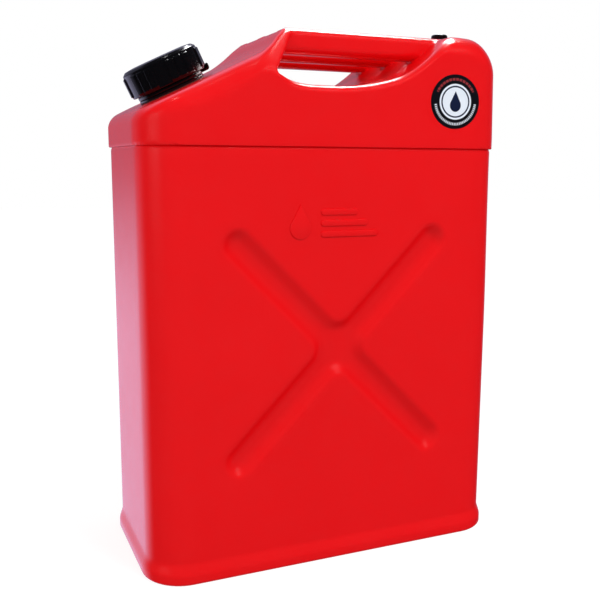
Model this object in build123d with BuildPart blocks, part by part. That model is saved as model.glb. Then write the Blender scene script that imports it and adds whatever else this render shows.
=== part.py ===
"""Twenty-litre moulded fuel can, upright, with a screwed filler cap and a small screwed vent.

The can stands on z = 0 with its width along X and its thickness along Y. The filler is on the
sloping shoulder at the left (-X), the vent on top of the tower at the right (+X), and three
parallel carrying bars bridge the gap between them. Sizes are in millimetres.
"""

import os
from math import atan2, cos, degrees, hypot, radians, sin, sqrt, tan

from build123d import *

os.makedirs("parts", exist_ok=True)

# Tank: the lower shell and the upper shell that laps over it at the seam
BODY_W = 344.4
BODY_D = 170.4
CORNER_R = 35.0
WALL = 3.0
SEAM_Z = 376.4
LAP_H = 8.0
STEP_OUT = 1.9
UPPER_W = BODY_W + 2 * STEP_OUT
UPPER_D = BODY_D + 2 * STEP_OUT
FOOT_OUT = 3.2
FOOT_H = 11.0
FOOT_EDGE_R = 3.0
UNDERSIDE_LIFT = 3.0
UNDERSIDE_RIM = 20.0

# Cross pressed into the broad sides
CROSS_Z = 200.0
CROSS_X = 98.0
CROSS_RISE = 100.0
CROSS_W = 24.0
CROSS_DEPTH = 5.5
CROSS_INNER_R = 12.0

# Outline of the upper shell, seen from the front
TOP_Z = 477.0
FILLER_DEG = 25.7
SHOULDER_Z = 402.3
RAMP_X = -101.2
POST_X, POST_Z = -87.0, 453.8
POST_TOP_X = -40.0
SHOULDER_R, RAMP_R, POST_R, POST_TOP_R = 12.0, 12.0, 25.0, 2.0
TOWER_R = 33.0
TOWER_LEAN, TOWER_LEAN_LOW, TOWER_LEAN_R = 4.5, 387.0, 60.0
TOP_EDGE_R = 11.0

# Gap under the carrying bars: a leaning post at the left, a dished deck and a 45 degree ramp
DECK_Z = 428.0
DECK_LEFT_X, DECK_LEFT_R = -25.0, 75.0
DECK_RIGHT_X, DECK_RIGHT_R = -8.0, 220.0
GAP_TOP_Z = 500.0
GAP_END_X = 150.0
RAMP_FOOT_X = 78.0
POST_FOOT_X = -60.4
POST_LEAN = 0.695

# Post: its slope's outer edges are chamfered, and below the chamfer its sides lean inwards
PEAK_X, PEAK_Y, PEAK_Z = -43.4, 60.0, 475.3
CHAMFER_NORMAL = (-0.412, 0.379, 0.827)
LEAN_NORMAL = (0.147, 0.826, 0.543)
FACET_SPAN = 160.0
FACET_END_X = -30.0

# Carrying bars
BAR_W, BAR_H, BAR_R, BAR_WALL = 20.0, 21.5, 7.0, 3.0
BAR_PITCH = 50.0

# Filler: heights are measured along its axis from the shoulder's face
FILLER_X = -125.6
NECK_BORE_R = 22.0
NECK_ROOT_R = 27.0
NECK_FLANGE_R = 30.6
NECK_THREAD_R = 29.4
NECK_BELOW = 14.0
NECK_GASKET_T = 0.8
NECK_FLANGE_TOP = 3.0
NECK_THREAD_START = 6.3
NECK_TOP = 22.0
WELL_R = 43.0
RUNNING = 0.08

COLLAR_LOW, COLLAR_HIGH = 3.3, 6.0
TAB_R, TAB_W, TAB_T, TAB_HIGH = 39.0, 9.0, 2.4, 9.5

CAP_R = 35.75
CAP_PANEL_R = 34.4
CAP_LOW = 6.5
CAP_SHOULDER = 27.0
CAP_TOP = 31.0
CAP_TOP_R = 31.0
CAP_PADS = 6
PAD_DEG = 40.0
PAD_START = 30.0
PAD_INSET = 0.8
SEAL_T = 2.0
SEAT_GAP = 0.1
PLUG_R, PLUG_WALL, PLUG_DEPTH = 21.5, 2.0, 3.0
DISC_T = 2.6
DISC_R = 28.4

# Vent on top of the tower
VENT_X = 148.4
VENT_BOSS_R = 9.5
VENT_BORE_R = 3.0
VENT_ROOT_R = 6.5
VENT_FLANGE_R = 7.6
VENT_THREAD_R = 5.5
VENT_BUSH_LOW = 466.0
VENT_FLANGE_Z = 478.2
VENT_THREAD_TOP = 485.0
VENT_GASKET_T = 1.2
VENT_CAP_R = 8.0
VENT_CAP_LOW = 478.8
VENT_CAP_TOP = 490.0
VENT_CAP_EDGE_R = 1.8
VENT_FLUTES = 18
VENT_FLUTE_R = 0.9

# Round certification label on the front
LABEL_X, LABEL_Z, LABEL_R, LABEL_T = 112.5, 418.0, 23.5, 0.4

# An edge counts as lying on a face within this distance
TOUCH = 0.01

FILLER_TILT = radians(FILLER_DEG)
FILLER_Z = SHOULDER_Z + (FILLER_X + UPPER_W / 2) * tan(FILLER_TILT)
FILLER_AXIS = Plane(
    origin=(FILLER_X, 0, FILLER_Z),
    x_dir=(cos(FILLER_TILT), 0, sin(FILLER_TILT)),
    z_dir=(-sin(FILLER_TILT), 0, cos(FILLER_TILT)),
)

VENT_AXIS = Plane(origin=(VENT_X, 0, 0), z_dir=(0, 0, 1))


def slab(width, depth, radius, low, high):
    """Upright block with rounded corners, centred on the can."""
    with BuildPart() as block:
        with BuildSketch(Plane.XY.offset(low)):
            RectangleRounded(width, depth, radius)
        extrude(amount=high - low)
    return block.part


def tube(plane, outer, inner, low, high):
    """Ring, or disc where inner is 0, about a plane's normal and between two heights."""
    with BuildPart() as ring:
        with BuildSketch(plane.offset(low)):
            Circle(outer)
            if inner:
                Circle(inner, mode=Mode.SUBTRACT)
        extrude(amount=high - low)
    return ring.part


def cross_sketch(width):
    """Two crossing slots with rounded ends and rounded inner corners."""
    span = 2 * hypot(CROSS_X, CROSS_RISE)
    lean = degrees(atan2(CROSS_RISE, CROSS_X))
    with BuildSketch() as cross:
        with Locations((0, CROSS_Z)):
            SlotCenterToCenter(span, width, rotation=lean)
            SlotCenterToCenter(span, width, rotation=-lean)
        fillet(cross.vertices().sort_by_distance((0, CROSS_Z, 0))[:4], CROSS_INNER_R)
    return cross.sketch


def shoulder_outline(bottom_z, inset):
    """Upper shell seen from the front, moved inwards by inset."""
    side = UPPER_W / 2
    ramp_z = SHOULDER_Z + (RAMP_X + side) * tan(FILLER_TILT)
    with BuildSketch() as outline:
        with BuildLine():
            path = FilletPolyline(
                (-side, bottom_z),
                (-side, SHOULDER_Z),
                (RAMP_X, ramp_z),
                (POST_X, POST_Z),
                (POST_TOP_X, TOP_Z),
                (side - TOWER_LEAN, TOP_Z),
                (side, TOWER_LEAN_LOW),
                (side, bottom_z),
                radius=[SHOULDER_R, RAMP_R, POST_R, POST_TOP_R, TOWER_R, TOWER_LEAN_R],
            )
            Line(path @ 1, path @ 0)
        make_face()
        if inset:
            offset(amount=-inset, kind=Kind.INTERSECTION)
    return outline.sketch


def handle_gap(grow):
    """Solid that fills the gap under the bars, wider all round by grow."""
    left_z = DECK_Z + DECK_LEFT_R - sqrt(DECK_LEFT_R**2 - (POST_FOOT_X - DECK_LEFT_X) ** 2)
    right_z = DECK_Z + DECK_RIGHT_R - sqrt(DECK_RIGHT_R**2 - (RAMP_FOOT_X - DECK_RIGHT_X) ** 2)
    post_top_x = POST_FOOT_X + POST_LEAN * (GAP_TOP_Z - left_z)
    ramp_top_x = RAMP_FOOT_X + GAP_TOP_Z - right_z
    with BuildPart() as gap:
        with BuildSketch(Plane.XZ):
            with BuildLine():
                Polyline((ramp_top_x, GAP_TOP_Z), (post_top_x, GAP_TOP_Z), (POST_FOOT_X, left_z))
                RadiusArc((POST_FOOT_X, left_z), (DECK_LEFT_X, DECK_Z), -DECK_LEFT_R)
                Line((DECK_LEFT_X, DECK_Z), (DECK_RIGHT_X, DECK_Z))
                RadiusArc((DECK_RIGHT_X, DECK_Z), (RAMP_FOOT_X, right_z), -DECK_RIGHT_R)
                Line((RAMP_FOOT_X, right_z), (ramp_top_x, GAP_TOP_Z))
            make_face()
            if grow:
                offset(amount=grow, kind=Kind.INTERSECTION)
        extrude(amount=UPPER_D, both=True)
    return gap.part


def post_facets(inset):
    """What the chamfers and the leaning sides take off the post, moved inwards by inset."""
    with BuildPart() as facets:
        for side in (1, -1):
            for across, along, up in (CHAMFER_NORMAL, LEAN_NORMAL):
                outward = Vector(across, side * along, up).normalized()
                peak = Vector(PEAK_X, side * PEAK_Y, PEAK_Z)
                with BuildSketch(Plane(origin=peak - outward * inset, z_dir=outward)):
                    Rectangle(FACET_SPAN, FACET_SPAN)
                extrude(amount=FACET_SPAN)
        with BuildSketch(Plane.XY.offset(SEAM_Z)):
            with Locations((FACET_END_X, 0)):
                Rectangle(FACET_SPAN, UPPER_D, align=(Align.MAX, Align.CENTER))
        extrude(amount=FACET_SPAN, mode=Mode.INTERSECT)
    return facets.part


def shoulder_block(bottom_z, inset):
    """Solid of the upper shell's outline with its broad sides' edges rounded, moved inwards by inset."""
    half_depth = UPPER_D / 2 - inset
    with BuildPart() as block:
        with BuildSketch(Plane.XZ):
            add(shoulder_outline(bottom_z, inset))
        extrude(amount=half_depth, both=True)
        rims = edges().filter_by(lambda edge: abs(abs(edge.center().Y) - half_depth) < TOUCH)
        fillet(rims.filter_by(lambda edge: edge.center().Z > SEAM_Z + TOUCH), TOP_EDGE_R - inset)
        trim = slab(UPPER_W - 2 * inset, UPPER_D - 2 * inset, CORNER_R + STEP_OUT - inset, 0, GAP_TOP_Z)
        add(trim, mode=Mode.INTERSECT)
    return block.part


# Lower shell: open-topped box with a foot flange, a lap at the top and a cross on both broad sides
lap_in = WALL - STEP_OUT
throat_in = WALL + lap_in
floor_z = UNDERSIDE_LIFT + WALL
with BuildPart() as lower_shell:
    add(slab(BODY_W + 2 * FOOT_OUT, BODY_D + 2 * FOOT_OUT, CORNER_R + FOOT_OUT, 0, FOOT_H))
    fillet(edges().group_by(Axis.Z)[0] + edges().group_by(Axis.Z)[-1], FOOT_EDGE_R)
    add(slab(BODY_W, BODY_D, CORNER_R, 0, SEAM_Z))
    add(slab(BODY_W - 2 * lap_in, BODY_D - 2 * lap_in, CORNER_R - lap_in, SEAM_Z, SEAM_Z + LAP_H))
    rim_in = 2 * UNDERSIDE_RIM
    underside = slab(BODY_W - rim_in, BODY_D - rim_in, CORNER_R - UNDERSIDE_RIM / 2, 0, UNDERSIDE_LIFT)
    add(underside, mode=Mode.SUBTRACT)
    tank = slab(BODY_W - 2 * WALL, BODY_D - 2 * WALL, CORNER_R - WALL, floor_z, SEAM_Z)
    add(tank, mode=Mode.SUBTRACT)
    throat_w, throat_d = BODY_W - 2 * throat_in, BODY_D - 2 * throat_in
    throat = slab(throat_w, throat_d, CORNER_R - throat_in, SEAM_Z, SEAM_Z + LAP_H)
    add(throat, mode=Mode.SUBTRACT)
    for side in (1, -1):
        with BuildSketch(Plane.XZ.offset(side * (BODY_D / 2 - WALL))):
            add(cross_sketch(CROSS_W + 2 * WALL))
        extrude(amount=-side * CROSS_DEPTH)
        with BuildSketch(Plane.XZ.offset(side * BODY_D / 2)):
            add(cross_sketch(CROSS_W))
        extrude(amount=-side * CROSS_DEPTH, mode=Mode.SUBTRACT)
lower_shell.part.label = "lower_shell"
export_step(lower_shell.part, "parts/lower_shell.step")

# Upper shell: the same outline hollowed by one wall, with the gap under the bars cut through it
with BuildPart() as hollow:
    add(shoulder_block(SEAM_Z - LAP_H, WALL))
    add(tube(FILLER_AXIS, WELL_R + WALL, 0, -WALL, CAP_TOP), mode=Mode.SUBTRACT)
    add(handle_gap(WALL), mode=Mode.SUBTRACT)
    add(post_facets(WALL), mode=Mode.SUBTRACT)
with BuildPart() as upper_shell:
    add(shoulder_block(SEAM_Z, 0))
    add(post_facets(0), mode=Mode.SUBTRACT)
    add(tube(FILLER_AXIS, WELL_R, 0, 0, CAP_TOP), mode=Mode.SUBTRACT)
    add(handle_gap(0), mode=Mode.SUBTRACT)
    add(hollow.part, mode=Mode.SUBTRACT)
    add(tube(FILLER_AXIS, NECK_ROOT_R, 0, -NECK_BELOW, CAP_TOP), mode=Mode.SUBTRACT)
    add(tube(VENT_AXIS, VENT_BOSS_R, 0, VENT_BUSH_LOW, TOP_Z))
    add(tube(VENT_AXIS, VENT_ROOT_R, 0, VENT_BUSH_LOW, TOP_Z), mode=Mode.SUBTRACT)
upper_shell.part.label = "upper_shell"
export_step(upper_shell.part, "parts/upper_shell.step")

# Carrying bars: three hollow bars between the post and the tower's ramp
for name, bar_y in (("front", -BAR_PITCH), ("middle", 0), ("rear", BAR_PITCH)):
    bore_w, bore_h = BAR_W - 2 * BAR_WALL, BAR_H - 2 * BAR_WALL
    with BuildPart() as bar:
        with BuildSketch(Plane.YZ.offset(POST_FOOT_X)):
            with Locations((bar_y, TOP_Z - BAR_H / 2)):
                RectangleRounded(BAR_W, BAR_H, BAR_R)
                RectangleRounded(bore_w, bore_h, BAR_R - BAR_WALL, mode=Mode.SUBTRACT)
        extrude(amount=GAP_END_X - POST_FOOT_X)
        add(handle_gap(0), mode=Mode.INTERSECT)
    bar.part.label = f"handle_{name}"
    export_step(bar.part, f"parts/handle_{name}.step")

# Filler neck: threaded outside, flanged onto a flat seal on the shoulder
with BuildPart() as filler_neck:
    add(tube(FILLER_AXIS, NECK_ROOT_R, 0, -NECK_BELOW, NECK_THREAD_START))
    add(tube(FILLER_AXIS, NECK_FLANGE_R, 0, NECK_GASKET_T, NECK_FLANGE_TOP))
    add(tube(FILLER_AXIS, NECK_THREAD_R, 0, NECK_THREAD_START, NECK_TOP))
    add(tube(FILLER_AXIS, NECK_BORE_R, 0, -NECK_BELOW, NECK_TOP), mode=Mode.SUBTRACT)
filler_neck.part.label = "filler_neck"
export_step(filler_neck.part, "parts/filler_neck.step")

with BuildPart() as neck_gasket:
    add(tube(FILLER_AXIS, NECK_FLANGE_R, NECK_ROOT_R, 0, NECK_GASKET_T))
neck_gasket.part.label = "neck_gasket"
export_step(neck_gasket.part, "parts/neck_gasket.step")

# Loose collar under the cap, with a small tab that turns up beside the cap's rim
with BuildPart() as neck_collar:
    add(tube(FILLER_AXIS, NECK_FLANGE_R, 0, COLLAR_LOW, COLLAR_HIGH))
    with BuildSketch(FILLER_AXIS.offset(COLLAR_HIGH - TAB_T)):
        with Locations((TAB_R / 2, 0)):
            Rectangle(TAB_R, TAB_W)
    extrude(amount=TAB_T)
    with BuildSketch(FILLER_AXIS.offset(COLLAR_HIGH)):
        with Locations((TAB_R - TAB_T / 2, 0)):
            Rectangle(TAB_T, TAB_W)
    extrude(amount=TAB_HIGH - COLLAR_HIGH)
    add(tube(FILLER_AXIS, NECK_ROOT_R + RUNNING, 0, COLLAR_LOW, COLLAR_HIGH), mode=Mode.SUBTRACT)
neck_collar.part.label = "neck_collar"
export_step(neck_collar.part, "parts/neck_collar.step")

# Seal carried by the cap: a disc with a short plug ring, over a flat gasket on the neck's lip
gasket_low = NECK_TOP + SEAT_GAP
disc_low = gasket_low + SEAL_T
disc_high = disc_low + DISC_T
with BuildPart() as cap_gasket:
    add(tube(FILLER_AXIS, DISC_R, PLUG_R + SEAT_GAP, gasket_low, disc_low))
cap_gasket.part.label = "cap_gasket"
export_step(cap_gasket.part, "parts/cap_gasket.step")

with BuildPart() as cap_disc:
    add(tube(FILLER_AXIS, DISC_R, 0, disc_low, disc_high))
    add(tube(FILLER_AXIS, PLUG_R, PLUG_R - PLUG_WALL, NECK_TOP - PLUG_DEPTH, disc_low))
cap_disc.part.label = "cap_disc"
export_step(cap_disc.part, "parts/cap_disc.step")

# Screw cap: smooth skirt with six ribbed grip pads and a low domed top
with BuildPart() as filler_cap:
    add(tube(FILLER_AXIS, CAP_PANEL_R, 0, CAP_LOW, CAP_SHOULDER))
    with BuildSketch(FILLER_AXIS.offset(CAP_SHOULDER)):
        Circle(CAP_PANEL_R)
    with BuildSketch(FILLER_AXIS.offset(CAP_TOP)):
        Circle(CAP_TOP_R)
    loft()
    with BuildSketch(FILLER_AXIS.offset(CAP_LOW + PAD_INSET)):
        with PolarLocations(0, CAP_PADS, start_angle=PAD_START):
            with BuildLine():
                start = PolarLine((0, 0), CAP_R, -PAD_DEG / 2)
                end = PolarLine((0, 0), CAP_R, PAD_DEG / 2)
                RadiusArc(start @ 1, end @ 1, -CAP_R)
            make_face()
    extrude(amount=CAP_SHOULDER - CAP_LOW - 2 * PAD_INSET)
    add(tube(FILLER_AXIS, NECK_THREAD_R + RUNNING, 0, CAP_LOW, disc_high + SEAT_GAP), mode=Mode.SUBTRACT)
filler_cap.part.label = "filler_cap"
export_step(filler_cap.part, "parts/filler_cap.step")

# Vent: threaded bush in the tower, closed by a fluted cap over a seal
with BuildPart() as vent_bush:
    add(tube(VENT_AXIS, VENT_ROOT_R, 0, VENT_BUSH_LOW, TOP_Z))
    add(tube(VENT_AXIS, VENT_FLANGE_R, 0, TOP_Z, VENT_FLANGE_Z))
    add(tube(VENT_AXIS, VENT_THREAD_R, 0, VENT_FLANGE_Z, VENT_THREAD_TOP))
    add(tube(VENT_AXIS, VENT_BORE_R, 0, VENT_BUSH_LOW, VENT_THREAD_TOP), mode=Mode.SUBTRACT)
vent_bush.part.label = "vent_bush"
export_step(vent_bush.part, "parts/vent_bush.step")

vent_seal_low = VENT_THREAD_TOP + SEAT_GAP
vent_seal_high = vent_seal_low + VENT_GASKET_T
with BuildPart() as vent_gasket:
    add(tube(VENT_AXIS, VENT_THREAD_R, VENT_BORE_R, vent_seal_low, vent_seal_high))
vent_gasket.part.label = "vent_gasket"
export_step(vent_gasket.part, "parts/vent_gasket.step")

with BuildPart() as vent_cap:
    add(tube(VENT_AXIS, VENT_CAP_R, 0, VENT_CAP_LOW, VENT_CAP_TOP))
    fillet(edges().group_by(Axis.Z)[-1], VENT_CAP_EDGE_R)
    with BuildSketch(VENT_AXIS.offset(VENT_CAP_LOW)):
        with PolarLocations(VENT_CAP_R + VENT_FLUTE_R / 2, VENT_FLUTES):
            Circle(VENT_FLUTE_R)
    extrude(amount=VENT_CAP_TOP - VENT_CAP_LOW, mode=Mode.SUBTRACT)
    thread_room = tube(VENT_AXIS, VENT_THREAD_R + RUNNING, 0, VENT_CAP_LOW, vent_seal_high + SEAT_GAP)
    add(thread_room, mode=Mode.SUBTRACT)
vent_cap.part.label = "vent_cap"
export_step(vent_cap.part, "parts/vent_cap.step")

# Round printed label, stuck flat on the front of the tower
with BuildPart() as certification_label:
    with BuildSketch(Plane.XZ.offset(UPPER_D / 2)):
        with Locations((LABEL_X, LABEL_Z)):
            Circle(LABEL_R)
    extrude(amount=LABEL_T)
certification_label.part.label = "certification_label"
export_step(certification_label.part, "parts/certification_label.step")
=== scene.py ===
"""Moulded fuel can: the visible meshes, materials, light and camera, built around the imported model.

Shapes are worked out in millimetres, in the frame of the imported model, and turned into metres when
a mesh is made. The upper shell and the carrying bars are one distance field, the lower shell is a
profile swept round the tank, and the cap, neck and vent are turned with their pads, flutes and threads.
"""

from math import atan2, cos, hypot, pi, radians, sin, sqrt, tan

import bmesh
import bpy
import numpy as np
from mathutils import Matrix, Vector


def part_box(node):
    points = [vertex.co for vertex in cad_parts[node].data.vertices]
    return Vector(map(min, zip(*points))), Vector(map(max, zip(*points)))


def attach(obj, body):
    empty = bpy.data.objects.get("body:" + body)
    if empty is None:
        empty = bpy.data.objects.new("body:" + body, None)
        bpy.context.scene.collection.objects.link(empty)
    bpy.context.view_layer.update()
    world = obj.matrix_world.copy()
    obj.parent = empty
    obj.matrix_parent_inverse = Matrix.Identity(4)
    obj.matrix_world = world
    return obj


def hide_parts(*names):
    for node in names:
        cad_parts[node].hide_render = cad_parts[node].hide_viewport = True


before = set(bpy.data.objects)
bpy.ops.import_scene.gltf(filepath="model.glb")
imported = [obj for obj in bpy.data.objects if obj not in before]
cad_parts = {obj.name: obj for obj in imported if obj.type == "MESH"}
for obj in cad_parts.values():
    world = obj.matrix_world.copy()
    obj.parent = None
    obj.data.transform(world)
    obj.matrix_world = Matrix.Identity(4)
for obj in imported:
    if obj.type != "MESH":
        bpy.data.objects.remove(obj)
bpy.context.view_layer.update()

MM = 0.001
SHARP_DEG = 50
# Spacing of the mesh's points on the broad sides, and the cell of the upper shell's grid
SPACING = 2.2
CELL = 1.8


def box_mm(node):
    """Lowest and highest corner of a CAD node, in millimetres."""
    low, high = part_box(node)
    return np.array(low) / MM, np.array(high) / MM


# Tank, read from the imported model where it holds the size
FOOT_OUT = 3.2
FOOT_EDGE_R = 3.0
FOOT_FLARE_LOW, FOOT_FLARE_H = 7.5, 13.0
UNDERSIDE_LIFT = 3.0
UNDERSIDE_RIM = 20.0
WALL = 3.0
LEAST_WALL = 3.4
CORNER_R = 35.0
foot_low, foot_high = box_mm("lower_shell")
upper_low, upper_high = box_mm("upper_shell")
BODY_W = foot_high[0] - foot_low[0] - 2 * FOOT_OUT
BODY_D = foot_high[1] - foot_low[1] - 2 * FOOT_OUT
SEAM_Z = upper_low[2]
TOP_Z = upper_high[2]
UPPER_W = upper_high[0] - upper_low[0]
UPPER_D = upper_high[1] - upper_low[1]
STEP_OUT = (UPPER_W - BODY_W) / 2
LAP_TOP = foot_high[2]

# Cross pressed into the broad sides: each arm ends this far out from its middle
CROSS_Z = 200.0
CROSS_X, CROSS_RISE = 94.0, 94.5
CROSS_HALF_W = 13.5
CROSS_SLOPE = 0.95
CROSS_DEPTH = 6.8
CROSS_RIM_SOFT, CROSS_FLOOR_SOFT = 2.6, 4.0
CROSS_INNER_R = 12.0
CROSS_MARGIN = 16.0

# Outline of the upper shell in the front view: shoulder, ramp, post and leaning right side
FILLER_TILT = radians(25.7)
FILLER_X = -125.6
SHOULDER_Z = 402.3
RAMP_X = -63.0
FILLER_Z = SHOULDER_Z + (FILLER_X + UPPER_W / 2) * tan(FILLER_TILT)
RAMP_Z = SHOULDER_Z + (RAMP_X + UPPER_W / 2) * tan(FILLER_TILT)
POST_X, POST_Z = -45.5, 474.3
POST_TOP_X = -40.0
TOWER_LEAN, TOWER_LEAN_LOW = 4.5, 387.0
SEAM_LEAN, SEAM_LEAN_LOW = 2.0, 200.0
NECK_ROOT_R = 27.0
NECK_HOLE_DEPTH = 20.0
HOLLOW_EDGE_R = 0.6

# Fillets of that outline: ramp into post, post into the slope behind it, slope into the top
POST_FOOT_R, POST_PEAK_R, TOP_CORNER_R = 4.0, 3.0, 1.5

# Edge radius along the top: small at the shoulder, larger on the ramp, largest on the tower
SHOULDER_EDGE_R, RAMP_EDGE_R, TOWER_EDGE_R = 8.0, 20.0, 33.0
SHOULDER_EDGE_X, SHOULDER_EDGE_RUN = -174.0, 60.0
TOWER_EDGE_X, TOWER_EDGE_RUN = 120.0, 45.0

# Gap under the carrying bars, between the post's leaning wall, the dished deck and the tower's slope
POST_FOOT_X, POST_LEAN = -60.4, 0.695
DECK_Z = 428.0
DECK_LEFT_X, DECK_LEFT_R = -25.0, 75.0
DECK_RIGHT_X, DECK_RIGHT_R = -8.0, 220.0
RAMP_FOOT_X = 78.0
GAP_TOWER_R, GAP_POST_R = 10.0, 4.0
LIP_R, POST_LIP_R, LIP_RUN = 7.0, 1.8, 14.0

# Leaning sides of the post, the carrying bars, and the boss under the vent
PEAK_X, PEAK_Y, PEAK_Z = -43.4, 60.0, 475.3
LEAN_NORMAL = (0.147, 0.826, 0.543)
FACET_END_X, FACET_R = -30.0, 4.0
BAR_HALF_W, BAR_HALF_H, BAR_R = 10.0, 10.75, 7.0
BAR_PITCH = 50.0
BAR_END_X = 118.0
VENT_X = 148.4
VENT_BOSS_R, VENT_BOSS_LOW = 9.5, 450.0


# ---------------------------------------------------------------- meshes

def add_object(name, shape, body, materials, replaced=(), place=None, slots=None):
    """Smooth mesh object from millimetre points and faces, riding on a body and standing for CAD nodes."""
    vertices, faces = shape
    mesh = bpy.data.meshes.new(name)
    points = np.asarray(vertices, float) * MM
    mesh.from_pydata(points.tolist(), [], [tuple(map(int, face)) for face in faces])
    mesh.polygons.foreach_set("use_smooth", [True] * len(mesh.polygons))
    if slots is not None:
        mesh.polygons.foreach_set("material_index", slots)
    for material in materials:
        mesh.materials.append(material)
    build = bmesh.new()
    build.from_mesh(mesh)
    bmesh.ops.recalc_face_normals(build, faces=build.faces)
    build.to_mesh(mesh)
    build.free()
    mesh.validate()
    mesh.set_sharp_from_angle(angle=radians(SHARP_DEG))
    if place is not None:
        mesh.transform(place)
    piece = bpy.data.objects.new(name, mesh)
    bpy.context.scene.collection.objects.link(piece)
    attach(piece, body)
    if replaced:
        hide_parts(*replaced)
    return piece


def ease(t):
    """Smooth step from 0 to 1."""
    t = np.clip(t, 0, 1)
    return t * t * (3 - 2 * t)


def round_max(a, b, radius):
    """Intersection of two fields with its edge rounded."""
    return np.minimum(-radius, np.maximum(a, b)) + np.hypot(
        np.maximum(a + radius, 0), np.maximum(b + radius, 0)
    )


def round_min(a, b, radius):
    """Union of two fields with its corner filleted."""
    return -round_max(-a, -b, radius)


def soft_min(a, b, width):
    """Lower of two heights, blended where they come within the given width of each other."""
    near = np.maximum(width - np.abs(a - b), 0) / width
    return np.minimum(a, b) - near * near * width / 4


def plan_field(x, y, width, depth, radius):
    """Distance to an upright wall of rounded-rectangle plan, negative inside."""
    across = np.abs(x) - (width / 2 - radius)
    along = np.abs(y) - (depth / 2 - radius)
    outside = np.hypot(np.maximum(across, 0), np.maximum(along, 0))
    return outside + np.minimum(np.maximum(across, along), 0) - radius


def surface_of(field, low, high, step, relax=3):
    """Closed quad mesh on the zero surface of a field, by surface nets pulled onto the surface.

    A cell with corners on both sides gets one point, an edge of the grid that crosses the surface gets
    one quad between its four cells, and relaxing spreads the points evenly over the surface.
    """
    axes = [np.arange(l - 1.5 * step, h + 2 * step, step) for l, h in zip(low, high)]
    grid = np.meshgrid(*axes, indexing="ij")
    inside = field(*grid) < 0
    shape = np.array(inside.shape) - 1
    corners = [(i, j, k) for i in (0, 1) for j in (0, 1) for k in (0, 1)]
    count = sum(
        inside[i : i + shape[0], j : j + shape[1], k : k + shape[2]].astype(np.int8) for i, j, k in corners
    )
    crossed = (count > 0) & (count < 8)
    number = np.full(crossed.shape, -1)
    number[crossed] = np.arange(crossed.sum())
    cells = np.argwhere(crossed)
    points = np.stack([axes[a][cells[:, a]] + step / 2 for a in range(3)], axis=1)
    quads = []
    for axis in range(3):
        b, c = (axis + 1) % 3, (axis + 2) % 3
        one = np.take(inside, range(inside.shape[axis] - 1), axis)
        other = np.take(inside, range(1, inside.shape[axis]), axis)
        for mask, flip in ((one & ~other, False), (~one & other, True)):
            at = np.argwhere(mask)
            at = at[(at[:, b] > 0) & (at[:, c] > 0)]
            ring = []
            for db, dc in ((1, 1), (0, 1), (0, 0), (1, 0)):
                cell = at.copy()
                cell[:, b] -= db
                cell[:, c] -= dc
                ring.append(number[tuple(cell.T)])
            quad = np.stack(ring[::-1] if flip else ring, axis=1)
            quads.append(quad[(quad >= 0).all(axis=1)])
    quads = np.concatenate(quads)

    def slope(p):
        gap = step * 0.05
        parts = []
        for axis in range(3):
            ahead, behind = p.copy(), p.copy()
            ahead[:, axis] += gap
            behind[:, axis] -= gap
            parts.append((field(*ahead.T) - field(*behind.T)) / (2 * gap))
        return np.stack(parts, axis=1)

    def pull(p, times):
        for _ in range(times):
            g = slope(p)
            move = field(*p.T)[:, None] * g / np.maximum((g**2).sum(axis=1, keepdims=True), 0.05)
            length = np.linalg.norm(move, axis=1, keepdims=True)
            p = p - move * np.minimum(1, step / np.maximum(length, 1e-9))
        return p

    points = pull(points, 4)
    pairs = np.concatenate([quads[:, [0, 1]], quads[:, [1, 2]], quads[:, [2, 3]], quads[:, [3, 0]]])
    degree = np.bincount(pairs.ravel(), minlength=len(points)).astype(float)
    for _ in range(relax):
        total = np.zeros_like(points)
        for axis in range(3):
            total[:, axis] = np.bincount(pairs[:, 0], points[pairs[:, 1], axis], len(points))
            total[:, axis] += np.bincount(pairs[:, 1], points[pairs[:, 0], axis], len(points))
        points = pull(points + 0.5 * (total / degree[:, None] - points), 2)
    return points, quads


def swept_loop(rows):
    """Quads between successive rings of equal length; the first and last ring are filled."""
    rings, count = rows.shape[:2]
    index = np.arange(rings * count).reshape(rings, count)
    ahead = np.roll(index, -1, axis=1)
    quads = np.stack([index[:-1], ahead[:-1], ahead[1:], index[1:]], axis=-1).reshape(-1, 4)
    faces = [tuple(q) for q in quads]
    faces.append(tuple(index[0][::-1]))
    faces.append(tuple(index[-1]))
    return rows.reshape(-1, 3), faces


def prism(outline, levels, axes):
    """Prism on a flat outline: each (inset, level) adds a ring, axes puts (u, v, level) into x, y, z."""
    outline = np.asarray(outline, float)
    along = np.roll(outline, -1, axis=0) - np.roll(outline, 1, axis=0)
    along /= np.linalg.norm(along, axis=1, keepdims=True)
    outward = np.column_stack([along[:, 1], -along[:, 0]])
    rows = []
    for inset, level in levels:
        flat = outline - inset * outward
        rows.append(np.column_stack([flat, np.full(len(flat), level)])[:, axes])
    return swept_loop(np.array(rows))


def joined(shapes):
    """Several closed shapes as one set of points and faces."""
    points, faces, start = [], [], 0
    for vertices, polygons in shapes:
        points.append(vertices)
        faces += [tuple(start + i for i in polygon) for polygon in polygons]
        start += len(vertices)
    return np.concatenate(points), faces


# ---------------------------------------------------------------- lower shell

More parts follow.
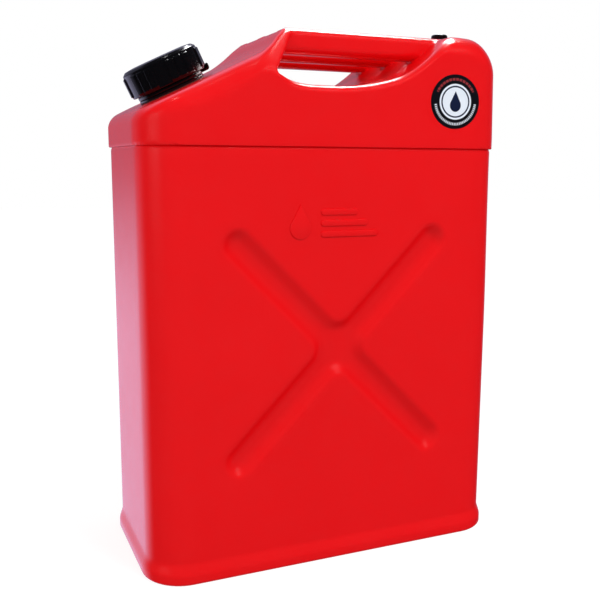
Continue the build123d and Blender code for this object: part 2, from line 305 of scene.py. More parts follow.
def perimeter(width, depth, radius, spacing, corner_steps):
    """Base points and outward normals round a rounded rectangle, anticlockwise from its front left.

    A base point plus its normal times the corner radius lies on the rectangle itself.
    """
    a, b = width / 2 - radius, depth / 2 - radius
    base, normal = [], []
    sides = [((-a, -b), (a, -b), -pi / 2, spacing), ((a, -b), (a, b), 0, 4 * spacing)]
    sides += [((a, b), (-a, b), pi / 2, spacing), ((-a, b), (-a, -b), pi, 4 * spacing)]
    for start, end, facing, gap in sides:
        steps = int(round(hypot(end[0] - start[0], end[1] - start[1]) / gap))
        for i in range(steps):
            t = i / steps
            base.append([start[0] + t * (end[0] - start[0]), start[1] + t * (end[1] - start[1])])
            normal.append([cos(facing), sin(facing)])
        for i in range(corner_steps):
            angle = facing + pi / 2 * i / corner_steps
            base.append(list(end))
            normal.append([cos(angle), sin(angle)])
    return np.array(base), np.array(normal)


def cross_depth(x, z):
    """How far the pressed cross lies below the broad side: sloping walls down to a flat floor."""
    length = hypot(CROSS_X, CROSS_RISE)
    fields = []
    for lean in (1, -1):
        ux, uz = CROSS_X / length, lean * CROSS_RISE / length
        along = np.clip(x * ux + (z - CROSS_Z) * uz, -length, length)
        fields.append(np.hypot(x - along * ux, z - CROSS_Z - along * uz) - CROSS_HALF_W)
    field = round_min(fields[0], fields[1], CROSS_INNER_R)
    floored = soft_min(-CROSS_SLOPE * field, CROSS_DEPTH, CROSS_FLOOR_SOFT)
    return -soft_min(-floored, 0.0, CROSS_RIM_SOFT)


def arc_rows(center_out, center_z, radius, start_deg, end_deg, steps):
    """Points of a quarter-round in the profile, as (outward, height)."""
    angles = np.radians(np.linspace(start_deg, end_deg, steps + 1))
    return [(center_out + radius * cos(a), center_z + radius * sin(a)) for a in angles]


def lower_shell_mesh():
    """Swept walls: underside, foot flange, body with the cross, lap, then the inner wall and floor."""
    lap_in = WALL - STEP_OUT
    throat_in = WALL + lap_in
    flare_top = FOOT_FLARE_LOW + FOOT_FLARE_H
    cross_low = CROSS_Z - CROSS_RISE - CROSS_MARGIN
    cross_high = CROSS_Z + CROSS_RISE + CROSS_MARGIN
    floor_z = UNDERSIDE_LIFT + WALL
    rim = -UNDERSIDE_RIM
    profile = [(rim - 6, UNDERSIDE_LIFT), (rim - 0.5, UNDERSIDE_LIFT), (rim, UNDERSIDE_LIFT - 0.5)]
    profile += arc_rows(rim + 1, 1, 1, 180, 270, 3)
    profile += arc_rows(FOOT_OUT - FOOT_EDGE_R, FOOT_EDGE_R, FOOT_EDGE_R, -90, 0, 6)
    for t in np.linspace(0, 1, 13):
        profile.append((FOOT_OUT * (1 - ease(t)), FOOT_FLARE_LOW + FOOT_FLARE_H * t))
    profile += [(0, z) for z in np.linspace(flare_top + 5, cross_low, 9)]
    profile += [(0, z) for z in np.arange(cross_low + SPACING, cross_high, SPACING)]
    profile += [(0, z) for z in np.linspace(cross_high, SEAM_Z - 3.0, 9)]
    profile += [(-0.25, SEAM_Z - 1.6), (-0.7, SEAM_Z - 0.6), (-1.1, SEAM_Z)]
    profile += [(-lap_in, SEAM_Z), (-lap_in, LAP_TOP), (-throat_in, LAP_TOP)]
    profile += [(-throat_in, SEAM_Z), (-WALL, SEAM_Z - 2)]
    profile += [(-WALL, z) for z in np.arange(cross_high, cross_low, -5.0)]
    profile += [(-WALL, 16), (-WALL - 1.5, 10), (-WALL - 5, floor_z + 1), (-WALL - 10, floor_z)]
    base, normal = perimeter(BODY_W, BODY_D, CORNER_R, SPACING, 14)
    rings = []
    for out, z in profile:
        points = base + (CORNER_R + out) * normal
        on_broad_side = np.abs(normal[:, 1]) > 0.999
        sunk = np.where(on_broad_side, cross_depth(points[:, 0], z), 0.0)
        points = points - sunk[:, None] * normal
        leaned = SEAM_LEAN * ease((z - SEAM_LEAN_LOW) / (SEAM_Z - SEAM_LEAN_LOW))
        points[:, 0] -= leaned * np.maximum(points[:, 0], 0) / (BODY_W / 2)
        rings.append(np.column_stack([points, np.full(len(points), z)]))
    return swept_loop(np.array(rings))


# ---------------------------------------------------------------- upper shell

def line_field(x, z, start, end):
    """Signed distance to a line in the front view, positive above it."""
    dx, dz = end[0] - start[0], end[1] - start[1]
    return ((z - start[1]) * dx - (x - start[0]) * dz) / hypot(dx, dz)


def neck_coordinates(x, y, z):
    """Distance from the filler's axis, and height along it above the shoulder's face."""
    across = (x - FILLER_X) * cos(FILLER_TILT) + (z - FILLER_Z) * sin(FILLER_TILT)
    height = -(x - FILLER_X) * sin(FILLER_TILT) + (z - FILLER_Z) * cos(FILLER_TILT)
    return np.hypot(across, y), height


def from_post(x, z):
    """Distance to the right of the post's inner wall, which leans to the right going up."""
    foot_z = DECK_Z + DECK_LEFT_R - sqrt(DECK_LEFT_R**2 - (POST_FOOT_X - DECK_LEFT_X) ** 2)
    return (x - POST_FOOT_X - POST_LEAN * (z - foot_z)) / hypot(1, POST_LEAN)


def gap_field(x, z):
    """Gap under the carrying bars, negative inside it."""
    left = np.hypot(x - DECK_LEFT_X, z - DECK_Z - DECK_LEFT_R) - DECK_LEFT_R
    right = np.hypot(x - DECK_RIGHT_X, z - DECK_Z - DECK_RIGHT_R) - DECK_RIGHT_R
    deck = np.where(x < DECK_LEFT_X, left, np.where(x < DECK_RIGHT_X, DECK_Z - z, right))
    right_z = DECK_Z + DECK_RIGHT_R - sqrt(DECK_RIGHT_R**2 - (RAMP_FOOT_X - DECK_RIGHT_X) ** 2)
    tower = ((x - RAMP_FOOT_X) - (z - right_z)) / sqrt(2)
    return round_max(round_max(deck, tower, GAP_TOWER_R), -from_post(x, z), GAP_POST_R)


def facet_field(x, y, z):
    """Leaning plane that cuts the post's outer sides, up to where the gap begins."""
    lean = LEAN_NORMAL[0] * (x - PEAK_X) + LEAN_NORMAL[1] * (np.abs(y) - PEAK_Y)
    return np.minimum(lean + LEAN_NORMAL[2] * (z - PEAK_Z), FACET_END_X - x)


def upper_field(x, y, z):
    """Upper shell and bars: rounded outside, gap, filler hole and the hollow below the deck."""
    ramp = line_field(x, z, (-UPPER_W / 2, SHOULDER_Z), (RAMP_X, RAMP_Z))
    post_front = line_field(x, z, (RAMP_X, RAMP_Z), (POST_X, POST_Z))
    slope = line_field(x, z, (POST_X, POST_Z), (POST_TOP_X, TOP_Z))
    from_axis, above = neck_coordinates(x, y, z)
    outline = round_min(ramp, post_front, POST_FOOT_R)
    outline = round_max(outline, slope, POST_PEAK_R)
    outline = round_max(outline, z - TOP_Z, TOP_CORNER_R)
    risen = np.clip((z - TOWER_LEAN_LOW) / (TOP_Z - TOWER_LEAN_LOW), 0, 1)
    leaned = SEAM_LEAN + (TOWER_LEAN - SEAM_LEAN) * risen
    leaning_x = x * (1 + np.where(x > 0, leaned / (UPPER_W / 2), 0))
    wall = plan_field(leaning_x, y, UPPER_W, UPPER_D, CORNER_R + STEP_OUT)
    edge_r = SHOULDER_EDGE_R
    edge_r = edge_r + (RAMP_EDGE_R - SHOULDER_EDGE_R) * ease((x - SHOULDER_EDGE_X) / SHOULDER_EDGE_RUN)
    edge_r = edge_r + (TOWER_EDGE_R - RAMP_EDGE_R) * ease((x - TOWER_EDGE_X) / TOWER_EDGE_RUN)
    body = round_max(outline, wall, edge_r)
    body = round_max(body, facet_field(x, y, z), FACET_R)
    lip_r = POST_LIP_R + (LIP_R - POST_LIP_R) * ease(from_post(x, z) / LIP_RUN - 0.2)
    skin = round_max(body, -gap_field(x, z), lip_r)
    boss = np.maximum(np.hypot(x - VENT_X, y) - VENT_BOSS_R, np.maximum(z - TOP_Z, VENT_BOSS_LOW - z))
    body = round_min(skin, boss, 1.5)
    for bar_y in (-BAR_PITCH, 0, BAR_PITCH):
        across = np.abs(y - bar_y) - BAR_HALF_W + BAR_R
        upright = np.abs(z - TOP_Z + BAR_HALF_H) - BAR_HALF_H + BAR_R
        bar = np.hypot(np.maximum(across, 0), np.maximum(upright, 0))
        bar = bar + np.minimum(np.maximum(across, upright), 0) - BAR_R
        bar = np.maximum(np.maximum(bar, slope), np.maximum(post_front + 1.0, x - BAR_END_X))
        body = round_min(body, bar, 1.0)
    body = round_max(body, SEAM_Z - z, 1.0)
    inner_wall = wall + WALL + STEP_OUT / 2
    inner_top = round_max(ramp + WALL, z - DECK_Z + 2 * WALL, 3.0)
    hollow = round_max(inner_top, inner_wall, edge_r - WALL)
    hollow = np.maximum(hollow, skin + LEAST_WALL)
    hollow = np.minimum(hollow, np.maximum(from_axis - NECK_ROOT_R, -NECK_HOLE_DEPTH - above))
    return round_max(body, -hollow, HOLLOW_EDGE_R)


# ---------------------------------------------------------------- turned pieces

def turned(profile, columns, radius_change=None):
    """Solid of revolution about Z from (radius, height) points.

    radius_change(angle, radius, height) is added to the radius, for threads, pads and flutes.
    """
    angle = np.linspace(0, 2 * pi, columns, endpoint=False)
    rings = []
    for radius, height in profile:
        r = np.full(columns, float(radius))
        if radius_change is not None:
            r = r + radius_change(angle, radius, height)
        rings.append(np.column_stack([r * np.cos(angle), r * np.sin(angle), np.full(columns, height)]))
    return swept_loop(np.array(rings))


def rounded_profile(corners, steps=5):
    """Profile through (radius, height, fillet) corners, each fillet drawn as an arc."""
    points = []
    for i, (r, h, fillet) in enumerate(corners):
        here = np.array([r, h], float)
        if not fillet or i in (0, len(corners) - 1):
            points.append(tuple(here))
            continue
        before = np.array(corners[i - 1][:2], float) - here
        after = np.array(corners[i + 1][:2], float) - here
        before, after = before / np.linalg.norm(before), after / np.linalg.norm(after)
        half = np.arccos(np.clip(before @ after, -1, 1)) / 2
        reach = fillet / np.tan(half)
        center = here + (before + after) / np.linalg.norm(before + after) * fillet / np.sin(half)
        a, b = here + before * reach - center, here + after * reach - center
        turn = atan2(a[0] * b[1] - a[1] * b[0], a @ b)
        for t in np.linspace(0, turn, steps + 1):
            turned_arm = np.array([a[0] * cos(t) - a[1] * sin(t), a[0] * sin(t) + a[1] * cos(t)])
            points.append(tuple(center + turned_arm))
    return points


def subdivided(profile, longest):
    """Profile with extra points, so that no run is longer than the given length."""
    points = [profile[0]]
    for a, b in zip(profile, profile[1:]):
        steps = max(1, int(np.ceil(hypot(b[0] - a[0], b[1] - a[1]) / longest)))
        for i in range(1, steps + 1):
            points.append((a[0] + (b[0] - a[0]) * i / steps, a[1] + (b[1] - a[1]) * i / steps))
    return points


# Filler, with heights along its axis from the shoulder's face
NECK_FLANGE_R = 30.6
NECK_THREAD_R = 29.4
NECK_BORE_R = 22.0
NECK_TOP = 22.0
NECK_BELOW = 14.0
NECK_GASKET_T = 0.8
NECK_FLANGE_TOP = 3.0
COLLAR_LOW, COLLAR_HIGH = 3.3, 6.0
TAB_R, TAB_W, TAB_T, TAB_HIGH = 39.0, 9.0, 2.4, 9.5
DISC_R, DISC_LOW, DISC_HIGH = 28.4, 24.1, 26.7
PLUG_R, PLUG_WALL, PLUG_LOW = 21.5, 2.0, 19.0
SEAL_LOW = 22.1
THREAD_LEAD = 6.0
THREAD_DEEP = 1.5
CAP_PANEL_R, CAP_R = 34.4, 35.75
CAP_LOW, CAP_TOP = 6.5, 31.0
CAP_CEILING = 26.8
PAD_LOW, PAD_HIGH = 7.9, 25.6
PAD_HALF_DEG = 20.0
PAD_START_DEG = 41.0
PAD_FLUTE_DEG = 6.6
PAD_FLUTE_DEEP = 0.85

# Vent, with heights above the floor
VENT_BORE_R, VENT_ROOT_R, VENT_FLANGE_R, VENT_THREAD_R = 3.0, 6.5, 7.6, 5.5
VENT_BUSH_LOW, VENT_FLANGE_Z, VENT_THREAD_TOP = 466.0, 478.2, 485.0
VENT_LEAD = 2.0
VENT_SEAL_LOW, VENT_SEAL_HIGH = 485.1, 486.3
VENT_CAP_R, VENT_CAP_LOW, VENT_CAP_TOP = 8.0, 478.8, 490.0
VENT_CEILING = 486.4
VENT_FLUTES = 18
VENT_FLUTE_DEEP = 0.55

# Round label on the tower's front, and the raised mark on the broad side
LABEL_X, LABEL_Z, LABEL_R, LABEL_T = 112.5, 418.0, 24.0, 0.4
LABEL_STRETCH = 1.06
LABEL_COLUMNS = 144
MARK_X, MARK_Z = -38.0, 307.5
MARK_DROP_R, MARK_DROP_RISE = 9.8, 20.5
MARK_OUT = 1.1
MARK_BAR_X0, MARK_BAR_R = -19.0, 2.9
MARK_BARS = ((37.0, 302.0), (27.0, 311.5), (17.0, 321.0))


def thread_change(root, crest, low, high, lead):
    """Radius change of a helical ridge standing on a root cylinder, fading out at both ends."""
    def change(angle, radius, height):
        if not (abs(radius - root) < 1e-6 and low < height < high):
            return 0.0
        phase = np.mod(height - lead * angle / (2 * pi), lead)
        ridge = ease((lead * 0.32 - np.abs(phase - lead / 2)) / (lead * 0.16))
        fade = ease((height - low) / 1.2) * ease((high - height) / 1.2)
        return (crest - root) * ridge * fade
    return change


def pad_change(angle, radius, height):
    """Raised grip pads on the cap's skirt, each with two shallow upright flutes."""
    if radius < CAP_PANEL_R - 0.01 or not PAD_LOW < height < PAD_HIGH:
        return 0.0
    offset = np.degrees(angle) - PAD_START_DEG
    offset = np.mod(offset + 30, 60) - 30
    pad = ease((PAD_HALF_DEG - np.abs(offset)) / 1.6)
    upright = ease((height - PAD_LOW) / 0.9) * ease((PAD_HIGH - height) / 0.9)
    flute = ease(1.4 - np.abs(np.abs(offset) - PAD_FLUTE_DEG) / 1.5)
    return pad * upright * (CAP_R - CAP_PANEL_R - PAD_FLUTE_DEEP * flute)


def cap_mesh():
    """Screw cap: low dome, rounded shoulder, skirt with grip pads, and the room for the neck's thread."""
    corners = [
        (2, CAP_TOP, 0), (24, CAP_TOP - 0.2, 12), (31.5, CAP_TOP - 1.0, 3), (CAP_PANEL_R, 27.4, 1.6),
        (CAP_PANEL_R, CAP_LOW, 0.7), (NECK_THREAD_R + 0.1, CAP_LOW, 0.5),
        (NECK_THREAD_R + 0.1, CAP_CEILING, 0.8), (2, CAP_CEILING, 0),
    ]
    return turned(subdivided(rounded_profile(corners), 0.9), 540, pad_change)


def neck_mesh():
    """Neck: thread, flange on its gasket, and the sleeve that reaches down into the shoulder."""
    root = NECK_THREAD_R - THREAD_DEEP
    corners = [
        (NECK_BORE_R, NECK_TOP, 0), (root, NECK_TOP, 0.8), (root, NECK_FLANGE_TOP, 0.5),
        (NECK_FLANGE_R, NECK_FLANGE_TOP, 0.6), (NECK_FLANGE_R, NECK_GASKET_T, 0.3),
        (NECK_ROOT_R, NECK_GASKET_T, 0), (NECK_ROOT_R, -NECK_BELOW, 0.8), (NECK_BORE_R, -NECK_BELOW, 0.8),
        (NECK_BORE_R, NECK_TOP, 0),
    ]
    profile = subdivided(rounded_profile(corners), 0.5)
    change = thread_change(root, NECK_THREAD_R, COLLAR_HIGH + 0.5, NECK_TOP - 0.8, THREAD_LEAD)
    return ring_mesh(profile[:-1], 288, change)


def ring_mesh(profile, columns, change=None):
    """Turned ring: the profile's last point joins its first."""
    points, faces = turned(profile, columns, change)
    faces = faces[:-2]
    first = np.arange(columns)
    last = first + (len(profile) - 1) * columns
    faces += [tuple(q) for q in np.stack([last, np.roll(last, -1), np.roll(first, -1), first], axis=1)]
    return points, faces


def flat_ring(outer, inner, low, high, edge):
    """Flat ring with rounded edges."""
    corners = [
        (inner, (low + high) / 2, 0), (inner, high, edge), (outer, high, edge), (outer, low, edge),
        (inner, low, edge), (inner, (low + high) / 2, 0),
    ]
    return ring_mesh(rounded_profile(corners)[:-1], 192)


def collar_mesh():
    """Loose collar with its narrow tab, turned up at the end and rounded on every edge."""
    ring = flat_ring(NECK_FLANGE_R, NECK_ROOT_R + 0.08, COLLAR_LOW, COLLAR_HIGH, 0.4)
    low = COLLAR_HIGH - TAB_T
    corners = [
        (NECK_ROOT_R + 1.5, low, 0.3), (TAB_R, low, 2.4), (TAB_R, TAB_HIGH, 1.0),
        (TAB_R - TAB_T, TAB_HIGH, 0.5), (TAB_R - TAB_T, COLLAR_HIGH, 1.0),
        (NECK_ROOT_R + 1.5, COLLAR_HIGH, 0.3),
    ]
    strip = rounded_profile([corners[-1]] + corners + [corners[0]])[1:-1]
    half = TAB_W / 2
    levels = [(0.7, -half), (0.2, 0.2 - half), (0, 0.7 - half)]
    levels += [(inset, -level) for inset, level in reversed(levels)]
    return joined([ring, prism(strip, levels, (0, 2, 1))])


def disc_mesh():
    """Cap's seal carrier: a disc with a short plug ring under it."""
    corners = [
        (1, DISC_HIGH, 0), (DISC_R, DISC_HIGH, 0.5), (DISC_R, DISC_LOW, 0.5), (PLUG_R, DISC_LOW, 0),
        (PLUG_R, PLUG_LOW, 0.6), (PLUG_R - PLUG_WALL, PLUG_LOW, 0.6), (PLUG_R - PLUG_WALL, DISC_LOW, 1.0),
        (1, DISC_LOW, 0),
    ]
    return turned(rounded_profile(corners), 192)


def vent_bush_mesh():
    """Vent bush: sleeve, flange on the tower's top and a fine thread."""
    root = VENT_THREAD_R - 0.7
    middle = (VENT_BUSH_LOW + VENT_THREAD_TOP) / 2
    corners = [
        (VENT_BORE_R, middle, 0), (VENT_BORE_R, VENT_THREAD_TOP, 0.3), (root, VENT_THREAD_TOP, 0.4),
        (root, VENT_FLANGE_Z, 0.2), (VENT_FLANGE_R, VENT_FLANGE_Z, 0.4), (VENT_FLANGE_R, TOP_Z, 0.2),
        (VENT_ROOT_R, TOP_Z, 0), (VENT_ROOT_R, VENT_BUSH_LOW, 0.4), (VENT_BORE_R, VENT_BUSH_LOW, 0.3),
        (VENT_BORE_R, middle, 0),
    ]
    profile = subdivided(rounded_profile(corners), 0.25)
    change = thread_change(root, VENT_THREAD_R, VENT_FLANGE_Z + 0.2, VENT_THREAD_TOP - 0.4, VENT_LEAD)
    return ring_mesh(profile[:-1], 128, change)


def flute_change(angle, radius, height):
    """Upright flutes of the vent cap, running out below its rounded top."""
    if radius < VENT_CAP_R - 0.01:
        return 0.0
    groove = np.maximum(0, np.cos(VENT_FLUTES * angle)) ** 0.8
    return -VENT_FLUTE_DEEP * groove * ease((VENT_CAP_TOP - 2.0 - height) / 1.2)


def vent_cap_mesh():
    """Vent cap: fluted skirt, rounded top, and the room for the bush's thread."""
    corners = [
        (0.5, VENT_CAP_TOP, 0), (VENT_CAP_R, VENT_CAP_TOP, 1.7), (VENT_CAP_R, VENT_CAP_LOW, 0.3),
        (VENT_THREAD_R + 0.08, VENT_CAP_LOW, 0.3), (VENT_THREAD_R + 0.08, VENT_CEILING, 0.3),
        (0.5, VENT_CEILING, 0),
    ]
    return turned(subdivided(rounded_profile(corners), 0.6), 432, flute_change)


# ---------------------------------------------------------------- label and raised mark

def label_mesh():
    """Round label printed with rings and ticks; returns its shape and the ink of each face."""
    front = UPPER_D / 2
    rings = [
        (1.0, 0.0, 0), (1.0, LABEL_T - 0.12, 0), (0.994, LABEL_T, 0), (0.87, LABEL_T, "ticks"),
        (0.775, LABEL_T, 0), (0.657, LABEL_T, 1), (0.587, LABEL_T, 2), (0.53, LABEL_T, 1),
    ]
    angle = np.linspace(0, 2 * pi, LABEL_COLUMNS, endpoint=False)
    rows, inks = [], []
    degrees_at = np.degrees(angle)
    column = np.arange(LABEL_COLUMNS)
    upper = (degrees_at > 25) & (degrees_at < 155) & (column % 4 > 0)
    lower = (degrees_at > 187) & (degrees_at < 353) & (column % 2 > 0)
    for share, out, ink in rings:
        radius = LABEL_R * share
        x, z = LABEL_X + LABEL_STRETCH * radius * np.cos(angle), LABEL_Z + radius * np.sin(angle)
        rows.append(np.column_stack([x, np.full(LABEL_COLUMNS, -front - out), z]))
        ticks = np.where(upper, 3, np.where(lower, 1, 0))
        inks.append(ticks if ink == "ticks" else np.full(LABEL_COLUMNS, ink))
    disc = swept_loop(np.array(rows))
    drop = prism(
        drop_outline(LABEL_X, LABEL_Z - 0.13 * LABEL_R, 0.24 * LABEL_R, 0.52 * LABEL_R),
        [(0, LABEL_T - 0.1), (0, LABEL_T + 0.03), (0.05, LABEL_T + 0.05)],
        (0, 2, 1),
    )
    drop = (drop[0] * (1, -1, 1) - (0, front, 0), drop[1])
    # Faces between the rings come first, then the disc's back and its middle, then the drop
    slots = list(np.concatenate(inks[:-1])) + [0, 1] + [2] * len(drop[1])
    return joined([disc, drop]), slots


def drop_outline(x, z, radius, rise):
    """Outline of a drop: a circle and a pointed top at the given rise above its centre."""
    touch = np.arcsin(radius / rise)
    turn = np.linspace(pi - touch, 2 * pi + touch, 41)
    rounded = np.column_stack([x + radius * np.cos(turn), z + radius * np.sin(turn)])
    return np.concatenate([rounded, [[x, z + rise]]])


def bar_outline(x0, x1, z, radius):
    """Outline of a bar with round ends."""
    right = np.linspace(-pi / 2, pi / 2, 13)
    left = right + pi
    ends = [
        np.column_stack([x1 - radius + radius * np.cos(right), z + radius * np.sin(right)]),
        np.column_stack([x0 + radius + radius * np.cos(left), z + radius * np.sin(left)]),
    ]
    return np.concatenate(ends)


def mark_mesh():
    """Raised mark on the front: a drop beside three level bars."""
    outlines = [drop_outline(MARK_X, MARK_Z, MARK_DROP_R, MARK_DROP_RISE)]
    outlines += [bar_outline(MARK_BAR_X0, end, z, MARK_BAR_R) for end, z in MARK_BARS]
    levels = [(0, -0.6), (0, 0.3), (0.25, MARK_OUT - 0.25), (0.8, MARK_OUT)]
    points, faces = joined([prism(outline, levels, (0, 2, 1)) for outline in outlines])
    return points * (1, -1, 1) - (0, BODY_D / 2, 0), faces


# ---------------------------------------------------------------- materials

def new_material(name):
    """Principled material, its node tree and its shader."""
    material = bpy.data.materials.new(name)
    material.use_nodes = True
    tree = material.node_tree
    return material, tree, tree.nodes["Principled BSDF"]


def node(tree, kind, **settings):
    """Shader node with its attributes and unlinked inputs set."""
    made = tree.nodes.new(kind)
    for key, value in settings.items():
        if hasattr(made, key):
            setattr(made, key, value)
        else:
            made.inputs[key.replace("_", " ")].default_value = value
    return made


def object_noise(tree, scale, detail=3.0, rough=0.5):
    """Noise in the piece's own coordinates."""
    place = node(tree, "ShaderNodeTexCoord")
    noise = node(tree, "ShaderNodeTexNoise", Scale=scale, Detail=detail, Roughness=rough)
    tree.links.new(place.outputs["Object"], noise.inputs["Vector"])
    return noise


def two_tone(tree, shader, noise, dark, light):
    """Base colour that drifts between two tones with the noise."""
    ramp = node(tree, "ShaderNodeValToRGB")
    ramp.color_ramp.elements[0].color = (*dark, 1)
    ramp.color_ramp.elements[1].color = (*light, 1)
    tree.links.new(noise.outputs["Fac"], ramp.inputs["Fac"])
    tree.links.new(ramp.outputs["Color"], shader.inputs["Base Color"])


def between(tree, factor, low, high):
    """Factor from 0..1 mapped to low..high."""
    mapped = node(tree, "ShaderNodeMapRange", To_Min=low, To_Max=high)
    tree.links.new(factor, mapped.inputs["Value"])
    return mapped.outputs["Result"]


def moulded_red():
    """Glossy moulded plastic of the tank: slow swell and fine peel in the surface, uneven shine."""
    material, tree, shader = new_material("moulded_red")
    shader.inputs["IOR"].default_value = 1.5
    shader.inputs["Coat Weight"].default_value = 0.0
    tint = object_noise(tree, 9.0, 4.0)
    two_tone(tree, shader, tint, (0.78, 0.002, 0.004), (0.85, 0.003, 0.006))
    scuff = object_noise(tree, 60.0, 6.0, 0.6)
    tree.links.new(between(tree, scuff.outputs["Fac"], 0.16, 0.26), shader.inputs["Roughness"])
    swell = object_noise(tree, 14.0, 1.0)
    peel = object_noise(tree, 700.0, 2.0)
    first = node(tree, "ShaderNodeBump", Strength=0.25, Distance=0.002)
    second = node(tree, "ShaderNodeBump", Strength=0.08, Distance=0.0002)
    tree.links.new(swell.outputs["Fac"], first.inputs["Height"])
    tree.links.new(peel.outputs["Fac"], second.inputs["Height"])
    tree.links.new(first.outputs["Normal"], second.inputs["Normal"])
    tree.links.new(second.outputs["Normal"], shader.inputs["Normal"])
    return material


def moulded_black():
    """Harder, glossier black plastic of the filler and vent, with a fine grain."""
    material, tree, shader = new_material("moulded_black")
    shader.inputs["IOR"].default_value = 1.5
    tint = object_noise(tree, 40.0, 4.0)
    two_tone(tree, shader, tint, (0.001, 0.001, 0.0015), (0.003, 0.003, 0.0035))
    scuff = object_noise(tree, 150.0, 5.0, 0.6)
    tree.links.new(between(tree, scuff.outputs["Fac"], 0.1, 0.22), shader.inputs["Roughness"])
    grain = object_noise(tree, 900.0, 2.0)
    bump = node(tree, "ShaderNodeBump", Strength=0.1, Distance=0.0001)
    tree.links.new(grain.outputs["Fac"], bump.inputs["Height"])
    tree.links.new(bump.outputs["Normal"], shader.inputs["Normal"])
    return material


def seal_rubber():
    """Matt black rubber of the gaskets."""
    material, tree, shader = new_material("seal_rubber")
    tint = object_noise(tree, 120.0, 4.0)
    two_tone(tree, shader, tint, (0.014, 0.014, 0.014), (0.03, 0.03, 0.03))
    tree.links.new(between(tree, tint.outputs["Fac"], 0.55, 0.8), shader.inputs["Roughness"])
    return material


INKS = (
    ("print_black", (0.004, 0.004, 0.007)),
    ("print_white", (0.80, 0.86, 0.95)),
    ("print_navy", (0.006, 0.012, 0.045)),
    ("print_dull_red", (0.30, 0.03, 0.035)),
)


def printed(name, color):
    """Printed gloss vinyl in one ink, very slightly uneven."""
    material, tree, shader = new_material(name)
    tint = object_noise(tree, 200.0, 3.0)
    two_tone(tree, shader, tint, [0.93 * c for c in color], color)
    tree.links.new(between(tree, tint.outputs["Fac"], 0.25, 0.35), shader.inputs["Roughness"])
    return material


# ---------------------------------------------------------------- light, floor and camera

def area_light(name, place, target, size, power, size_y=None):
    """Area lamp at a place, facing its target."""
    light = bpy.data.lights.new(name, "AREA")
    light.energy = power
    light.size = size
    if size_y:
        light.shape = "RECTANGLE"
        light.size_y = size_y
    lamp = bpy.data.objects.new(name, light)
    lamp.location = place
    lamp.rotation_euler = (Vector(target) - Vector(place)).to_track_quat("-Z", "Y").to_euler()
    bpy.context.scene.collection.objects.link(lamp)
    return lamp


def stepped(tree, value, low, high):
    """Smooth step of a value from 0 at low to 1 at high."""
    mapped = node(tree, "ShaderNodeMapRange", interpolation_type="SMOOTHSTEP", From_Min=low, From_Max=high)
    tree.links.new(value, mapped.inputs["Value"])
    return mapped.outputs["Result"]


def combined(tree, operation, first, second):
    """Math node on two values, each a socket or a number."""
    made = node(tree, "ShaderNodeMath", operation=operation)
    for socket, value in zip(made.inputs, (first, second)):
        if isinstance(value, (int, float)):
            socket.default_value = value
        else:
            tree.links.new(value, socket)
    return made.outputs["Value"]


def mixed(tree, factor, first, second):
    """First value where the factor is 0, second where it is 1."""
    made = node(tree, "ShaderNodeMix", data_type="FLOAT")
    for name, value in (("Factor", factor), ("A", first), ("B", second)):
        if isinstance(value, (int, float)):
            made.inputs[name].default_value = value
        else:
            tree.links.new(value, made.inputs[name])
    return made.outputs["Result"]


def surroundings():
    """White room for the camera and for diffuse light; reflections see it dark, but for table and ceiling.

    These two are bright behind the can only, the table on the left only, and reflections are tinted blue.
    """
    world = bpy.data.worlds.new("studio")
    world.use_nodes = True
    tree = world.node_tree
    place = node(tree, "ShaderNodeTexCoord")
    split = node(tree, "ShaderNodeSeparateXYZ")
    tree.links.new(place.outputs["Generated"], split.inputs["Vector"])
    behind = stepped(tree, split.outputs["Y"], 0.25, 0.75)
    left = stepped(tree, split.outputs["X"], 0.2, -0.1)
    table = combined(tree, "MULTIPLY", stepped(tree, split.outputs["Z"], 0.1, -0.22), left)
    ceiling = stepped(tree, split.outputs["Z"], 0.4, 0.75)
    lit = combined(tree, "MAXIMUM", combined(tree, "MAXIMUM", table, ceiling), 0.25)
    bright = combined(tree, "MULTIPLY", lit, behind)
    mirrored = combined(tree, "ADD", combined(tree, "MULTIPLY", bright, 1.3), 0.03)
    path = node(tree, "ShaderNodeLightPath")
    plain = mixed(tree, path.outputs["Is Diffuse Ray"], 1.0, 0.62)
    level = mixed(tree, path.outputs["Is Glossy Ray"], plain, mirrored)
    tint = node(tree, "ShaderNodeMix", data_type="RGBA")
    tint.inputs["A"].default_value = (1, 1, 1, 1)
    tint.inputs["B"].default_value = (0.72, 0.70, 1.0, 1)
    tree.links.new(path.outputs["Is Glossy Ray"], tint.inputs["Factor"])
    background = tree.nodes["Background"]
    tree.links.new(tint.outputs["Result"], background.inputs["Color"])
    tree.links.new(level, background.inputs["Strength"])
    bpy.context.scene.world = world


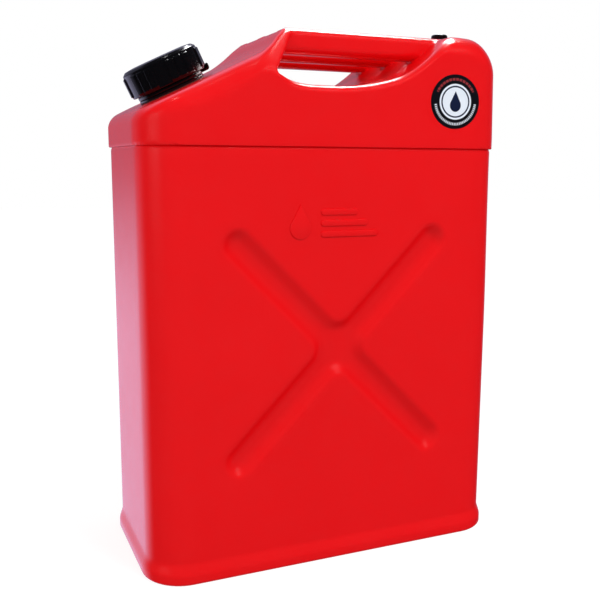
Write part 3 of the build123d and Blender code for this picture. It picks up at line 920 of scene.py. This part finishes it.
def studio():
    """White floor, pale surroundings, soft lamps that light the can, and lamps seen only as highlights."""
    mesh = bpy.data.meshes.new("floor")
    half = 6.0
    corners = [(-half, -half, 0), (half, -half, 0), (half, half, 0), (-half, half, 0)]
    mesh.from_pydata(corners, [], [(0, 1, 2, 3)])
    floor = bpy.data.objects.new("floor", mesh)
    floor.visible_glossy = False
    bpy.context.scene.collection.objects.link(floor)
    # The floor glows for the camera and less for the can, so its red stays clean
    material, tree, shader = new_material("floor_white")
    shader.inputs["Base Color"].default_value = (0.3, 0.3, 0.3, 1)
    shader.inputs["Roughness"].default_value = 0.9
    shader.inputs["Specular IOR Level"].default_value = 0.0
    shader.inputs["Emission Color"].default_value = (1, 1, 1, 1)
    path = node(tree, "ShaderNodeLightPath")
    glow = mixed(tree, path.outputs["Is Camera Ray"], 0.3, 0.82)
    tree.links.new(glow, shader.inputs["Emission Strength"])
    mesh.materials.append(material)
    surroundings()
    bpy.context.scene.view_settings.view_transform = "Standard"
    for name, place, width, power, depth in (
        ("bar_highlight", (0.82, 0.78, 2.2), 0.65, 75, 1.45),
        ("edge_highlight", (-0.55, 0.0, 2.2), 0.1, 1.0, 0.1),
    ):
        lamp = area_light(name, place, (place[0], place[1], 0), width, power, depth)
        lamp.visible_diffuse = False
    key = area_light("key", (1.2, -2.0, 2.4), (0, 0, 0.25), 1.4, 52, 1.4)
    key.visible_glossy = False
    fill = area_light("fill", (-2.6, -0.9, 1.0), (0, 0, 0.25), 1.4, 20, 1.4)
    fill.visible_glossy = False


def photo_camera():
    """Camera at the viewing angle of the reference, from the can's front left and a little below its top."""
    place = Vector((-0.31032, -0.72760, 0.36171))
    yaw, pitch, roll = 0.4007, 0.1653, 0.0044
    ahead = Vector((sin(yaw) * cos(pitch), cos(yaw) * cos(pitch), -sin(pitch)))
    level = Vector((cos(yaw), -sin(yaw), 0))
    up = level.cross(ahead)
    right = level * cos(roll) + up * sin(roll)
    up = up * cos(roll) - level * sin(roll)
    data = bpy.data.cameras.new("camera")
    data.lens = 48.805
    data.sensor_width = 36.0
    camera = bpy.data.objects.new("camera", data)
    turn = Matrix((right, up, -ahead)).transposed().to_4x4()
    camera.matrix_world = Matrix.Translation(place) @ turn
    bpy.context.scene.collection.objects.link(camera)
    bpy.context.scene.camera = camera


# ---------------------------------------------------------------- the can

photo_camera()
studio()
red, black, rubber = moulded_red(), moulded_black(), seal_rubber()
inks = [printed(name, color) for name, color in INKS]
filler_place = Matrix.Translation((FILLER_X * MM, 0, FILLER_Z * MM)) @ Matrix.Rotation(-FILLER_TILT, 4, "Y")
vent_place = Matrix.Translation((VENT_X * MM, 0, 0))

add_object("lower_shell_skin", lower_shell_mesh(), "can", [red], ["lower_shell"])
add_object("raised_mark", mark_mesh(), "can", [red])
bars = ["upper_shell", "handle_front", "handle_middle", "handle_rear"]
add_object("upper_shell_skin", surface_of(upper_field, upper_low, upper_high, CELL), "can", [red], bars)
add_object("filler_neck_skin", neck_mesh(), "can", [black], ["filler_neck"], filler_place)
neck_seal = flat_ring(NECK_FLANGE_R, NECK_ROOT_R, 0, NECK_GASKET_T, 0.2)
add_object("neck_gasket_skin", neck_seal, "can", [rubber], ["neck_gasket"], filler_place)
add_object("neck_collar_skin", collar_mesh(), "collar", [black], ["neck_collar"], filler_place)
add_object("filler_cap_skin", cap_mesh(), "cap", [black], ["filler_cap"], filler_place)
add_object("cap_disc_skin", disc_mesh(), "cap_seal", [black], ["cap_disc"], filler_place)
cap_seal = flat_ring(DISC_R, PLUG_R + 0.1, SEAL_LOW, DISC_LOW, 0.5)
add_object("cap_gasket_skin", cap_seal, "cap_seal", [rubber], ["cap_gasket"], filler_place)
add_object("vent_bush_skin", vent_bush_mesh(), "can", [black], ["vent_bush"], vent_place)
vent_seal = flat_ring(VENT_THREAD_R, VENT_BORE_R, VENT_SEAL_LOW, VENT_SEAL_HIGH, 0.3)
add_object("vent_gasket_skin", vent_seal, "vent_seal", [rubber], ["vent_gasket"], vent_place)
add_object("vent_cap_skin", vent_cap_mesh(), "vent_screw", [black], ["vent_cap"], vent_place)
label_shape, label_inks = label_mesh()
add_object("label_skin", label_shape, "can", inks, ["certification_label"], slots=label_inks)
